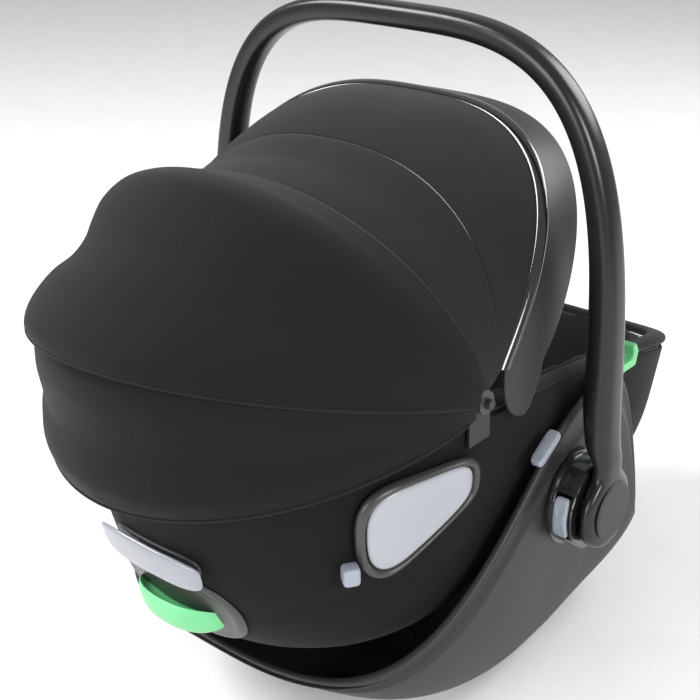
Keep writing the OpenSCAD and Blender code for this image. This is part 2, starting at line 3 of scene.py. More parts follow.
import bmesh
import bpy
from mathutils import Matrix, Vector, noise
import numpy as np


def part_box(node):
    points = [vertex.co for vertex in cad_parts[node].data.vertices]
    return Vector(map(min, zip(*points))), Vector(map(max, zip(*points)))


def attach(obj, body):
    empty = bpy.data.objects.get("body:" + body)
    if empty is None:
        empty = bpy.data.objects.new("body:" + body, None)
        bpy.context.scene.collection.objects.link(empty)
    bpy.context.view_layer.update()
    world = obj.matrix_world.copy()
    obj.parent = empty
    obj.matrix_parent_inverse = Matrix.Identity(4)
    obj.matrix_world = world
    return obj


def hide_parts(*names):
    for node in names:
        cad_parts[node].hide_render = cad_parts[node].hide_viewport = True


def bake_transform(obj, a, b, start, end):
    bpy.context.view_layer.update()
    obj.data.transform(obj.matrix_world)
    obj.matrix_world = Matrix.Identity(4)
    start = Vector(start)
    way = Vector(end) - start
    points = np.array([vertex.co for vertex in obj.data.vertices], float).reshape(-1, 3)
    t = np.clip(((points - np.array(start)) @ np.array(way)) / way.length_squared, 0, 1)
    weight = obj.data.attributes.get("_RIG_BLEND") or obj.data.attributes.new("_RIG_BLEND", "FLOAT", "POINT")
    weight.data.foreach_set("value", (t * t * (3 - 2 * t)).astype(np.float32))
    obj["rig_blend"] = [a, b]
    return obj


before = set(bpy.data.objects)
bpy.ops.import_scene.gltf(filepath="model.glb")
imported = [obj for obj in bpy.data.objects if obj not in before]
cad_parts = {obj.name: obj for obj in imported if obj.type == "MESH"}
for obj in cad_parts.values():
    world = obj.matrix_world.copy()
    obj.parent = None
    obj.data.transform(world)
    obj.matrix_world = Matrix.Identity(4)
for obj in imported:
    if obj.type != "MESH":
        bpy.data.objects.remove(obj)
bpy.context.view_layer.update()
print("frame loaded")

mm = 0.001
pinLow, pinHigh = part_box("pivot_pin_right")
pivotLine = (pinLow.y + pinHigh.y) / 2 / mm  # the handle's pivot line along Y


def at(x, y, z):
    return Vector((x * mm, (y + pivotLine) * mm, z * mm))  # y counts from the pivot line


def rad(angle):
    return math.radians(angle)


# camera and lights
camera = {
    "azimuth": 218.34, "elevation": 24.08, "distance": 1097.2, "aim": (0, 0, 300),
    "lens": 64.23, "sensor": 36, "shift": (-0.0702, -0.0302),
}


def placeCamera(c):
    turn, rise = rad(c["azimuth"]), rad(c["elevation"])
    back = Vector((math.sin(turn) * math.cos(rise), -math.cos(turn) * math.cos(rise), math.sin(rise)))
    data = bpy.data.cameras.new("viewCamera")
    data.lens, data.sensor_width = c["lens"], c["sensor"]
    data.shift_x, data.shift_y = c["shift"]
    made = bpy.data.objects.new("viewCamera", data)
    bpy.context.scene.collection.objects.link(made)
    made.location = at(*c["aim"]) + back * c["distance"] * mm
    made.rotation_mode = "QUATERNION"
    made.rotation_quaternion = (-back).to_track_quat("-Z", "Y")
    bpy.context.scene.camera = made


placeCamera(camera)

lamps = {
    "keyPanel": {"spot": (1.7, 1.3, 2.3), "size": 1.3, "power": 96},
    "sidePanel": {"spot": (-2.3, 0.9, 1.5), "size": 1.0, "power": 52},
    "headPanel": {"spot": (0.5, 2.6, 1.0), "size": 1.2, "power": 34},
    "footPanel": {"spot": (-0.9, -2.2, 1.8), "size": 1.4, "power": 44},
}
skyTone, skyPower = (0.97, 0.975, 0.985, 1), 0.5


def lightStudio():
    for name, lamp in lamps.items():
        data = bpy.data.lights.new(name, "AREA")
        data.size, data.energy = lamp["size"], lamp["power"]
        made = bpy.data.objects.new(name, data)
        bpy.context.scene.collection.objects.link(made)
        made.location = lamp["spot"]
        made.rotation_mode = "QUATERNION"
        made.rotation_quaternion = (Vector((0, 0, 0.25)) - made.location).to_track_quat("-Z", "Y")
    world = bpy.data.worlds.new("studioSky")
    world.use_nodes = True
    world.node_tree.nodes["Background"].inputs["Color"].default_value = skyTone
    world.node_tree.nodes["Background"].inputs["Strength"].default_value = skyPower
    bpy.context.scene.world = world
    bpy.context.scene.view_settings.view_transform = "Standard"


lightStudio()


# one shader value, so that the maths of a pattern reads as an expression
class Signal:
    def __init__(self, tree, socket):
        self.tree, self.socket = tree, socket

    def maths(self, operation, first, second=None):
        step = self.tree.nodes.new("ShaderNodeMath")
        step.operation = operation
        for slot, value in zip(step.inputs, (first, second)):
            feed(self.tree, slot, value)
        return Signal(self.tree, step.outputs[0])

    def __add__(self, other):
        return self.maths("ADD", self, other)

    def __sub__(self, other):
        return self.maths("SUBTRACT", self, other)

    def __rsub__(self, other):
        return self.maths("SUBTRACT", other, self)

    def __mul__(self, other):
        return self.maths("MULTIPLY", self, other)

    def __pow__(self, other):
        return self.maths("POWER", self, other)

    __radd__, __rmul__ = __add__, __mul__


def feed(tree, slot, value):
    if isinstance(value, Signal):
        tree.links.new(value.socket, slot)
    elif value is not None:
        slot.default_value = value


class Finish:
    def __init__(self, name, colour, rough, sheen=0.0, coat=0.0, metal=0.0, specular=0.5):
        self.made = bpy.data.materials.new(name)
        self.made.use_nodes = True
        self.tree = self.made.node_tree
        self.shader = self.tree.nodes["Principled BSDF"]
        self.colour = (*colour, 1)
        for slot, value in {
            "Base Color": self.colour, "Roughness": rough, "Metallic": metal, "Sheen Weight": sheen,
            "Sheen Roughness": 0.45, "Coat Weight": coat, "Coat Roughness": 0.12, "Specular IOR Level": specular,
        }.items():
            self.shader.inputs[slot].default_value = value

    def add(self, kind, settings=None, outlet=0, **values):
        step = self.tree.nodes.new("ShaderNode" + kind)
        for key, value in (settings or {}).items():
            if key == "stops":
                for spot, (place, tone) in zip(step.color_ramp.elements, value):
                    spot.position, spot.color = place, tone
            else:
                setattr(step, key, value)
        for key, value in values.items():
            feed(self.tree, step.inputs[key.replace("_", " ")], value)
        return Signal(self.tree, step.outputs[outlet])

    def spots(self, cut=None):  # the place on a piece, from its own mesh or from a cloth's cut
        if cut:
            return self.add("UVMap", {"uv_map": cut})
        return self.add("TexCoord", outlet="Object")

    def stretched(self, source, scale):
        return self.add("Mapping", Vector=source, Scale=scale)

    def grain(self, source, scale, detail=2.0, rough=0.5):
        return self.add("TexNoise", Vector=source, Scale=scale, Detail=detail, Roughness=rough)

    def tint(self, mask, dark, light):
        blend = self.add("Mix", {"data_type": "RGBA"}, 2)
        for slot, value in zip((0, 6, 7), (mask, (*dark, 1), (*light, 1))):
            feed(self.tree, blend.socket.node.inputs[slot], value)
        feed(self.tree, self.shader.inputs["Base Color"], blend)

    def dull(self, mask, low, high):
        feed(self.tree, self.shader.inputs["Roughness"], mask * (high - low) + low)

    def raised(self, height, distance, strength=1.0):
        bump = self.add("Bump", Height=height, Distance=distance, Strength=strength)
        feed(self.tree, self.shader.inputs["Normal"], bump)


def lighter(colour, share):
    return tuple(min(1.0, c * share) for c in colour)


def mouldedPlastic(name, colour, rough, grainSize=0.5, depth=0.05, coat=0.0, wear=1.25, specular=0.5):
    made = Finish(name, colour, rough, coat=coat, specular=specular)
    place = made.spots()
    fine = made.grain(place, 1000 / grainSize, 2.0)
    cloudy = made.grain(place, 14.0, 3.0)
    rubbed = made.grain(made.stretched(place, (60, 60, 140)), 1.0, 5.0, 0.7)
    marks = made.add("ValToRGB", {"stops": [(0.56, (0, 0, 0, 1)), (0.74, (1, 1, 1, 1))]}, Fac=rubbed)
    made.tint(cloudy * 0.6 + marks * 0.35, lighter(colour, 0.88), lighter(colour, wear))
    made.dull(cloudy * 0.5 + fine * 0.3 + marks * 0.25, rough - 0.07, rough + 0.1)
    made.raised(fine + cloudy * 0.4, depth * mm)
    return made.made


def wovenCloth(name, colour, pitch, rough=0.85, sheen=0.25, cut=None, mottle=1.5, depth=0.14, stretchy=0.0):
    made = Finish(name, colour, rough, sheen=sheen, specular=0.12)
    place = made.spots(cut)
    size = 2 * math.pi / (20 * pitch * mm) * 0.5
    warp = made.add("TexWave", {"wave_type": "BANDS", "bands_direction": "X"}, "Fac", Vector=place, Scale=size,
                    Distortion=0.6, Detail=1.0)
    weft = made.add("TexWave", {"wave_type": "BANDS", "bands_direction": "Y"}, "Fac", Vector=place, Scale=size,
                    Distortion=0.6, Detail=1.0)
    if not cut:
        deep = made.add("TexWave", {"wave_type": "BANDS", "bands_direction": "Z"}, "Fac", Vector=place,
                        Scale=size, Distortion=0.6, Detail=1.0)
        weft = weft * 0.5 + deep * 0.5
    weave = warp * weft + (1 - warp) * (1 - weft)
    body = made.spots()
    fuzz = made.grain(body, 900, 3.0, 0.65)
    patchy = made.grain(body, 22, 4.0, 0.55)
    drawn = made.grain(made.stretched(body, (90, 90, 260)), 1.0, 3.0)
    made.tint(weave * 0.35 + fuzz * 0.35 + patchy * 0.25 + drawn * stretchy, lighter(colour, 0.62),
              lighter(colour, mottle))
    made.dull(fuzz * 0.6 + patchy * 0.4, rough - 0.08, rough + 0.08)
    made.raised(weave + fuzz * 0.7, depth * mm)
    return made.made


def marledJersey(name, colour, rough=0.92):
    made = Finish(name, colour, rough, sheen=0.35, specular=0.2)
    place = made.spots()
    threads = made.grain(made.stretched(place, (260, 900, 900)), 1.0, 4.0, 0.7)
    flecks = made.add("ValToRGB", {"stops": [(0.38, (0, 0, 0, 1)), (0.62, (1, 1, 1, 1))]}, Fac=threads)
    knit = made.add("TexVoronoi", {"feature": "F1"}, "Distance", Vector=place, Scale=620.0)
    made.tint(flecks * 0.8 + knit * 0.2, lighter(colour, 0.4), lighter(colour, 1.7))
    made.dull(knit, rough - 0.1, rough + 0.05)
    made.raised(knit + flecks * 0.5, 0.2 * mm)
    return made.made


def ribbedWebbing(name, colour):
    made = Finish(name, colour, 0.62, sheen=0.2, specular=0.4)
    place = made.spots("cut")
    ribs = made.add("TexWave", {"wave_type": "BANDS", "bands_direction": "X"}, "Fac", Vector=place, Scale=190.0,
                    Distortion=0.3)
    picks = made.add("TexWave", {"wave_type": "BANDS", "bands_direction": "Y"}, "Fac", Vector=place,
                     Scale=420.0, Distortion=0.8)
    fuzz = made.grain(made.spots(), 800, 3.0)
    made.tint(ribs * 0.4 + picks * 0.25 + fuzz * 0.35, lighter(colour, 0.6), lighter(colour, 2.1))
    made.dull(fuzz, 0.5, 0.72)
    made.raised(ribs + picks * 0.4, 0.3 * mm)
    return made.made


def platedSteel(name, colour):
    made = Finish(name, colour, 0.3, metal=1.0)
    place = made.spots()
    brushed = made.grain(made.stretched(place, (1500, 60, 60)), 1.0, 3.0)
    stains = made.grain(place, 60, 4.0)
    made.tint(stains, lighter(colour, 0.8), lighter(colour, 1.1))
    made.dull(brushed * 0.6 + stains * 0.4, 0.22, 0.46)
    made.raised(brushed, 0.03 * mm)
    return made.made


def beadFoam(name, colour):
    made = Finish(name, colour, 0.7, specular=0.3)
    place = made.spots()
    beads = made.add("TexVoronoi", {"feature": "SMOOTH_F1"}, "Distance", Vector=place, Scale=260.0)
    made.tint(beads, lighter(colour, 1.05), lighter(colour, 0.8))
    made.dull(beads, 0.6, 0.85)
    made.raised(1 - beads, 0.5 * mm)
    return made.made


finishes = {
    "basePlastic": mouldedPlastic("basePlastic", (0.016, 0.016, 0.0175), 0.5, 0.45, 0.06, specular=0.4),
    "bossGloss": mouldedPlastic("bossGloss", (0.008, 0.008, 0.009), 0.16, 1.5, 0.01, coat=0.7, wear=1.6),
    "handleSatin": mouldedPlastic("handleSatin", (0.006, 0.006, 0.0065), 0.27, 0.4, 0.025, wear=1.5, specular=0.42),
    "capMatte": mouldedPlastic("capMatte", (0.02, 0.02, 0.022), 0.5, 0.45, 0.05),
    "buttonGrey": mouldedPlastic("buttonGrey", (0.27, 0.3, 0.35), 0.38, 0.4, 0.02, wear=1.08),
    "mintPlastic": mouldedPlastic("mintPlastic", (0.14, 0.52, 0.22), 0.36, 0.5, 0.02, wear=1.08),
    "podSilver": mouldedPlastic("podSilver", (0.34, 0.355, 0.385), 0.32, 0.6, 0.01, coat=0.25, wear=1.04),
    "trimPlastic": mouldedPlastic("trimPlastic", (0.036, 0.036, 0.039), 0.42, 0.45, 0.05),
    "podFrame": mouldedPlastic("podFrame", (0.034, 0.033, 0.032), 0.36, 0.5, 0.03),
    "paddleGrey": mouldedPlastic("paddleGrey", (0.26, 0.27, 0.3), 0.26, 0.7, 0.01, coat=0.35, wear=1.06),
    "shellPlastic": mouldedPlastic("shellPlastic", (0.015, 0.015, 0.016), 0.44, 0.45, 0.06),
    "visorSatin": mouldedPlastic("visorSatin", (0.014, 0.014, 0.015), 0.42, 0.45, 0.04, specular=0.4),
    "visorGloss": mouldedPlastic("visorGloss", (0.006, 0.006, 0.007), 0.12, 1.5, 0.01, coat=0.8, wear=1.6),
    "redButton": mouldedPlastic("redButton", (0.55, 0.015, 0.02), 0.3, 0.5, 0.02, coat=0.3, wear=1.1),
    "rubberBlack": mouldedPlastic("rubberBlack", (0.02, 0.02, 0.02), 0.75, 0.4, 0.12),
    "platedSteel": platedSteel("platedSteel", (0.55, 0.56, 0.58)),
    "beadFoam": beadFoam("beadFoam", (0.8, 0.8, 0.78)),
    "blackStretch": wovenCloth("blackStretch", (0.0055, 0.0055, 0.006), 1.1, 0.78, 0.06, "cut", 1.7, 0.1, 0.15),
    "charcoalWeave": wovenCloth("charcoalWeave", (0.012, 0.012, 0.0125), 1.3, 0.82, 0.07, "cut", 1.7, 0.16),
    "coverCloth": wovenCloth("coverCloth", (0.005, 0.005, 0.0055), 1.2, 0.84, 0.05, None, 1.7, 0.12),
    "padCloth": wovenCloth("padCloth", (0.009, 0.009, 0.0095), 1.4, 0.86, 0.07, None, 1.8, 0.16),
    "heatherJersey": marledJersey("heatherJersey", (0.16, 0.16, 0.175)),
    "webbing": ribbedWebbing("webbing", (0.012, 0.012, 0.013)),
}
print("finishes made", len(finishes))


# making and finishing a piece
def patch(columns, rows, place, joined=True, cutSize=(1.0, 1.0)):
    made = bmesh.new()
    bmesh.ops.create_grid(made, x_segments=columns, y_segments=rows, size=0.5)
    cut = made.loops.layers.uv.new("cut")
    spot = {v: (v.co.x + 0.5, v.co.y + 0.5) for v in made.verts}
    for face in made.faces:
        for corner in face.loops:
            across, along = spot[corner.vert]
            corner[cut].uv = (across * cutSize[0], along * cutSize[1])
    for v in made.verts:
        v.co = place(*spot[v])
    if joined:
        bmesh.ops.remove_doubles(made, verts=made.verts, dist=0.02 * mm)
        bmesh.ops.recalc_face_normals(made, faces=made.faces)
    return made


def capEnds(made):  # closes a tube's open ends
    bmesh.ops.holes_fill(made, edges=[e for e in made.edges if e.is_boundary], sides=0)
    bmesh.ops.recalc_face_normals(made, faces=made.faces)


def settle(made, name, finish, body=None, wall=0.0, round=0.0, levels=0, offset=-1.0):
    data = bpy.data.meshes.new(name)
    made.to_mesh(data)
    made.free()
    for face in data.polygons:
        face.use_smooth = True
    data.materials.append(finishes[finish])
    piece = bpy.data.objects.new(name, data)
    bpy.context.scene.collection.objects.link(piece)
    if wall:
        thick = piece.modifiers.new("wall", "SOLIDIFY")
        thick.thickness, thick.offset, thick.use_even_offset = wall * mm, offset, True
    if round:
        soften = piece.modifiers.new("roundedEdges", "BEVEL")
        soften.width, soften.segments, soften.limit_method = round * mm, 3, "ANGLE"
        soften.angle_limit, soften.harden_normals = rad(38), False
    if levels:
        smoother = piece.modifiers.new("smoother", "SUBSURF")
        smoother.levels = smoother.render_levels = levels
    if body:
        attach(piece, body)
    return piece


def stands(piece, slot, *nodes):
    if nodes:
        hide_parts(*nodes)
    return piece


def sep(c, n):
    return math.copysign(abs(c) ** (2 / n), c)


def lerp(a, b, t):
    return a + (b - a) * t


def smooth(t):
    s = min(1, max(0, t))
    return s * s * (3 - 2 * s)


def chain(rows, t):  # a smooth curve through the rows' numbers, t from 0 to 1
    spot = min(max(t, 0), 1) * (len(rows) - 1)
    i = min(int(spot), len(rows) - 2)
    f = spot - i
    a, b, c, d = (rows[min(max(k, 0), len(rows) - 1)] for k in (i - 1, i, i + 1, i + 2))
    return [
        0.5 * (2 * q + (r - p) * f + (2 * p - 5 * q + 4 * r - s) * f * f + (3 * q - p - 3 * r + s) * f ** 3)
        for p, q, r, s in zip(a, b, c, d)
    ]


# floor
floorSize = 7.0
floorMesh = patch(2, 2, lambda u, v: Vector(((u - 0.5) * floorSize, (v - 0.5) * floorSize, -0.0004)), False)
finishes["paleFloor"] = mouldedPlastic("paleFloor", (0.86, 0.86, 0.86), 0.6, 2.0, 0.02, wear=1.02)
settle(floorMesh, "studioFloor", "paleFloor")

# base
base = {
    "halfWidth": 182, "head": 247, "foot": 244, "sideTop": 284, "headTop": 114, "footTop": 88,
    "floorHalfWidth": 122, "floorHalfLength": 132, "floorMiddle": -44, "lift": 3, "square": 3.1,
    "wall": 4, "lipReach": 9, "lipDrop": 7, "columns": 128,
}


def baseRim(y):
    if y > 0:
        return lerp(base["sideTop"], base["headTop"], smooth((y + 20) / (base["head"] + 2)) ** 0.8)
    return lerp(base["sideTop"], base["footTop"], smooth((-y - 70) / 120))


def basePoint(angle, v, depth, scale=1.0):
    c, s = math.cos(angle), math.sin(angle)
    b = base
    rimX = (b["halfWidth"] - depth) * sep(c, b["square"])
    rimY = ((b["head"] if s > 0 else b["foot"]) - depth) * sep(s, b["square"])
    floorX = (b["floorHalfWidth"] - depth) * sep(c, 2.4)
    floorY = b["floorMiddle"] + (b["floorHalfLength"] - depth) * sep(s, 2.4)
    m = lerp(1.6, 1.1 if s > 0 else 1.4, s * s)
    u = (1 - (1 - v) ** m) ** (1 / m)
    return Vector((
        lerp(floorX, rimX, u) * scale, b["floorMiddle"] + (lerp(floorY, rimY, u) - b["floorMiddle"]) * scale,
        lerp(b["lift"] + depth, baseRim(rimY), v),
    ))


def makeBase():
    # each row is (height share, depth, lift, scale): out along the floor, up the wall, over the lip, down inside
    rows = [(0, 0, 0, 0.001), (0, 0, 0, 0.5), (0, 0, 0, 0.9), (0, 0, 0, 0.985)]
    rows += [(v, 0, 0, 1) for v in (0.004, 0.03, 0.08, 0.15, 0.24, 0.34, 0.45, 0.56, 0.67, 0.77, 0.84)]
    rows += [(0.872, 0, 0, 1), (0.885, 0.2, 0, 1), (0.896, 1.6, 0, 1), (0.91, 3, 0, 1), (0.94, 3.1, 0, 1),
             (0.965, 2.4, 0, 1), (0.985, 1.9, 0, 1), (1, 3.2, -0.3, 1),
             (1, 4.8, 0.6, 1), (1, base["lipReach"] - 2, 0.9, 1), (1, base["lipReach"], 0, 1),
             (1, base["lipReach"], -base["lipDrop"], 1), (1, base["lipReach"] - 2, -base["lipDrop"] - 0.6, 1),
             (1, base["wall"] + 0.8, -base["lipDrop"], 1), (1, base["wall"], -base["lipDrop"] - 1.5, 1)]
    rows += [(v, base["wall"], 0, 1) for v in (0.9, 0.75, 0.6, 0.45, 0.3, 0.17, 0.07, 0.01)]
    rows += [(0, base["wall"], 0, 0.97), (0, base["wall"], 0, 0.6), (0, base["wall"], 0, 0.001)]

    def place(u, v):
        share, depth, lift, scale = rows[round(v * (len(rows) - 1))]
        p = basePoint(u * 2 * math.pi, share, depth, scale)
        return at(p.x, p.y, p.z + lift)

    made = patch(base["columns"], len(rows) - 1, place)
    piece = settle(made, "baseBody", "basePlastic", "base", levels=1)
    return stands(piece, "base_plastic", "base_shell")


makeBase()
print("base made")

# seat bucket
seat = {
    "halfWidth": 160, "head": 326, "foot": 310, "headMiddle": 105, "footMiddle": -90, "lowY": -20, "lowZ": 62,
    "headRim": 382, "sideRim": 294, "footRim": 206, "wall": 3.5, "columns": 128,
}


def seatRim(y):
    if y > 0:
        return lerp(seat["sideRim"], seat["headRim"], (y / seat["head"]) ** 1.6)
    return lerp(seat["sideRim"], seat["footRim"], (-y / seat["foot"]) ** 1.7)


def seatPoint(angle, v, depth):
    c, s = math.cos(angle), math.sin(angle)
    n, middle, reach = (2.05, seat["headMiddle"], seat["head"]) if s > 0 else (2.6, seat["footMiddle"], seat["foot"])
    rimX = (seat["halfWidth"] - depth) * sep(c, n)
    rimY = middle + (reach - abs(middle) - depth) * sep(s, n)
    bend, steep = lerp(0.1, 0.22 if s > 0 else 0.2, s * s), (lerp(6, 10, s) if s > 0 else 5)
    u = 1 - bend * (1 - v) - (1 - bend) * max(0, 1 - v) ** steep
    return Vector((rimX * u, lerp(seat["lowY"], rimY, u), lerp(seat["lowZ"] + depth, seatRim(rimY), v)))


def seatAt(angle, v, depth):
    return at(*seatPoint(angle, v, depth))


def ringAngle(u):  # once round the rim
    return u * 2 * math.pi


def bucketShell(name, outer, inner, shares, finish, slot, nodes, levels=1):
    rows = [(0, outer, 0.0)] + [(v, outer, 1.0) for v in shares] + [(v, inner, 1.0) for v in reversed(shares)]
    rows += [(0, inner, 0.0)]

    def place(u, v):
        share, depth, spread = rows[round(v * (len(rows) - 1))]
        if spread:
            return seatAt(ringAngle(u), share, depth)
        return at(0, seat["lowY"], seat["lowZ"] + depth)

    made = patch(seat["columns"], len(rows) - 1, place)
    return stands(settle(made, name, finish, "seat", levels=levels), slot, *nodes)


def makeShell():
    shares = [0.008, 0.02, 0.045, 0.08, 0.13, 0.19, 0.26, 0.35, 0.45, 0.56, 0.68, 0.8, 0.9, 0.97, 1]
    bucketShell("seatShell", 0, seat["wall"], shares, "shellPlastic", "shell_plastic", ["seat_shell"])


makeShell()

cover = {"bottom": 0.215, "top": 0.998, "out": 3.2, "in": 0.5, "seamRise": 0.34, "rows": 34}


def makeCover():
    rows = [lerp(cover["bottom"], cover["top"], i / cover["rows"]) for i in range(cover["rows"] + 1)]

    def seamDip(angle, v):  # a sewn line runs round the head end, lower at the sides
        line = cover["seamRise"] + 0.2 * abs(math.cos(angle)) ** 2
        return 1.1 * math.exp(-(((v - line) / 0.012) ** 2)) if math.sin(angle) > 0.05 else 0

    def place(u, v):
        angle, share = ringAngle(u), rows[round(v * cover["rows"])]
        puff = 0.35 * noise.noise(Vector((4 * math.cos(angle), 4 * math.sin(angle), 3 * share)))
        return seatAt(angle, share, -cover["out"] + seamDip(angle, share) - puff)

    made = patch(192, cover["rows"], place)
    piece = settle(made, "shellCover", "coverCloth", "seat", wall=cover["out"] - cover["in"], levels=1)
    stands(piece, "black_fabric", "shell_cover")
    return piece


makeCover()
print("shell made")

# handle
handle = {
    "halfWidth": 204, "top": 572, "spring": 255, "square": 3.5, "bar": 20, "leg": 28, "hubRadius": 34,
    "hubNear": 205.2, "hubFar": 220.8, "hubHeight": 200, "columns": 40,
}


def archPoint(angle):
    c, s = math.cos(angle), math.sin(angle)
    return Vector((handle["halfWidth"] * sep(c, handle["square"]), 0,
                   handle["spring"] + (handle["top"] - handle["spring"]) * sep(s, handle["square"])))


def handlePath():
    # height stations down the leg to the disc, then the arch, then the other leg
    legs = [handle["hubHeight"] + dz for dz in
            (-34, -33.3, -32, -29, -25, -20, -14, -7, 0, 8, 16, 24, 31, 38, 44, 50)]
    left = [Vector((-handle["halfWidth"], 0, z)) for z in legs]
    eased = [0.5 - 0.5 * math.cos(math.pi * i / 100) for i in range(101)]
    arch = [archPoint(math.pi * (1 - lerp(i / 100, e, 0.35))) for i, e in enumerate(eased)]
    right = [Vector((handle["halfWidth"], 0, z)) for z in reversed(legs)]
    return left + arch + right


def makeHandle():
    path = handlePath()
    count = len(path) - 1

    def place(u, v):
        i = round(v * count)
        p = path[i]
        run = (path[min(count, i + 1)] - path[max(0, i - 1)]).normalized()
        side = Vector((0, 1, 0)).cross(run).normalized()  # towards the inside of the arch
        rise = smooth((handle["top"] - p.z) / (handle["top"] - handle["hubHeight"]))
        halfThick = lerp(handle["bar"], handle["leg"], rise) / 2
        halfDeep = halfThick + 2
        outward = 0.0
        if p.z < handle["spring"] + 1:
            dz = p.z - handle["hubHeight"]
            disc = math.sqrt(max(0, handle["hubRadius"] ** 2 - dz * dz)) if dz < handle["hubRadius"] else 0
            flow = smooth(1 - (dz - 4) / 46) * 26 if dz > 4 else disc  # the leg widens into the disc
            halfDeep = max(halfDeep if dz > 8 else 0, disc, flow, 0.3)
            flat = 1 - smooth((dz - 43) / 20)
            halfThick = lerp(halfThick, (handle["hubFar"] - handle["hubNear"]) / 2, flat)
            outward = lerp(0, (handle["hubFar"] + handle["hubNear"]) / 2 - handle["halfWidth"], flat)
            if dz < -30:
                halfThick *= lerp(0.55, 1, (dz + 34) / 4)
        angle = u * 2 * math.pi
        p = p + Vector((math.copysign(outward, p.x), 0, 0))
        p += side * halfThick * sep(math.cos(angle), 2.9) + Vector((0, halfDeep * sep(math.sin(angle), 2.9), 0))
        return at(*p)

    made = patch(handle["columns"], count, place)
    capEnds(made)
    piece = settle(made, "carryHandle", "handleSatin", "handle", levels=1)
    return stands(piece, "handle_plastic", "handle_arch", "handle_hub_left", "handle_hub_right")


makeHandle()
print("handle made")

# canopy: each line is (lean, reach, squareness) about the canopy's pivots
hood = {
    "pivotY": 115, "pivotZ": 329, "halfWidth": 177, "columns": 128, "cloth": 1.3,
    "rear": [(-11, 224, 2.0), (-9.6, 226.5, 1.98), (-6, 229, 1.97), (-1.5, 226.5, 1.96), (2, 224.5, 1.95),
             (6, 227, 1.95), (10.5, 231.5, 1.95), (14.5, 234, 1.95), (18.5, 234, 1.95)],
    "third": [(16.4, 242, 1.95), (17.6, 245, 1.95), (19.6, 245.8, 1.95), (21.6, 243.5, 1.95), (24.8, 237, 1.95),
              (28.5, 227, 1.95), (33, 212, 1.96), (38, 205.5, 1.97), (43, 207, 1.98), (48.5, 208.6, 2.0),
              (54, 204, 2.02), (59, 192, 2.05), (64, 176, 2.08), (70.4, 160.8, 2.1)],
    "second": [(66.6, 157.6, 2.1), (71, 154.4, 2.12), (79, 151, 2.16), (88, 150.6, 2.2), (95, 155.2, 2.25),
               (102.2, 163.2, 2.3)],
    "front": [(102.6, 163.8, 2.3), (109, 178.5, 2.4), (116, 196.5, 2.5), (122, 212.5, 2.66), (128.2, 227.8, 2.8)],
    "spans": {"hoodSecond": (66.6, 128.2), "hoodFront": (66.6, 128.2)},  # one fan from middle bow to visor
    "lag": {"hoodThird": 2},  # its waist follows the rear bow, so that it folds clear of the head rim
    "relief": {
        "hoodRear": [(-8.5, 1.5, 1.0, 40), (0, 2.5, 1.2, 11), (8, 2.5, 0.9, 7)],
        "hoodThird": [(19, 2, 1.6, 9), (29, 4, 1.0, 8), (40, 5, 1.1, 6), (52, 4, 0.8, 7)],
        "hoodSecond": [(84, 8, 0.7, 7)], "hoodFront": [(114, 6, 0.7, 9)],
    },
}


def bowPoint(line, angle, inset=0.0, halfWidth=None):
    lean, reach, n = line
    halfWidth = hood["halfWidth"] if halfWidth is None else halfWidth
    r = (reach - inset) * abs(math.sin(angle)) ** (2 / n)
    return Vector(((halfWidth - inset) * sep(math.cos(angle), n), hood["pivotY"] + r * math.cos(rad(lean)),
                   hood["pivotZ"] + r * math.sin(rad(lean))))


def sweepAngle(u, ends=5):
    eased = 0.5 - 0.5 * math.cos(math.pi * u) * (1 - 0.35 * math.sin(math.pi * u) ** 2)
    return rad(ends + (180 - 2 * ends) * eased)


def hoodPoint(name, lines, u, v):
    # each relief is (lean, spread, depth, folds): soft pulls in the cloth between two lines
    line, angle = chain(lines, v), sweepAngle(u)
    p, pull = bowPoint(line, angle), 0.0
    for lean, spread, depth, folds in hood["relief"][name]:
        near = math.exp(-(((line[0] - lean) / spread) ** 2))
        wander = noise.noise(Vector((u * folds, line[0] / (3 * spread), lean)))
        pull += depth * near * wander * math.sin(math.pi * u) ** 0.5
    edge = min(v, 1 - v)
    stitch = 0.55 * math.exp(-(((edge - 0.035) / 0.008) ** 2)) if name != "hoodThird" or v > 0.5 else 0
    out = Vector((p.x * 0.4, p.y - hood["pivotY"], p.z - hood["pivotZ"])).normalized()
    return at(*(p + out * (pull - stitch)))


def hoodPanel(name, lines, finish, slot, node, bodies, flat, rows=40):
    made = patch(hood["columns"], rows, lambda u, v: hoodPoint(name, lines, u, v),
                 False, flat)
    print(name, "area", round(sum(f.calc_area() for f in made.faces), 4))
    piece = settle(made, name, finish, None, wall=hood["cloth"], levels=0, offset=-1)
    first, last = lines[0], lines[-1]
    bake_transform(piece, *bodies, at(*bowPoint(first, rad(90))), at(*bowPoint(last, rad(90))))
    weights = piece.data.attributes["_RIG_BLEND"].data
    for v, weight in zip(piece.data.vertices, weights):  # a hood turns about its pivots, so its share is by lean
        up, back = v.co.z / mm - hood["pivotZ"], v.co.y / mm - pivotLine - hood["pivotY"]
        lean = math.degrees(math.atan2(up, back))
        start, end = hood["spans"].get(name, (first[0], last[0]))
        share = smooth((lean - start) / (end - start))
        weight.value = share ** hood["lag"].get(name, 1)
    stands(piece, slot, node)
    return piece


def makeHood():
    hoodPanel("hoodRear", hood["rear"], "blackStretch", "black_fabric", "rear_panel", ("seat", "rear_bow"),
              (0.66, 0.13))
    hoodPanel("hoodThird", hood["third"], "blackStretch", "black_fabric", "third_panel",
              ("rear_bow", "middle_bow"), (0.62, 0.21), 60)
    hoodPanel("hoodSecond", hood["second"], "charcoalWeave", "charcoal_fabric", "second_panel",
              ("middle_bow", "visor"), (0.5, 0.1))
    hoodPanel("hoodFront", hood["front"], "charcoalWeave", "charcoal_fabric", "front_panel",
              ("middle_bow", "visor"), (0.6, 0.12))


makeHood()
print("hood made")


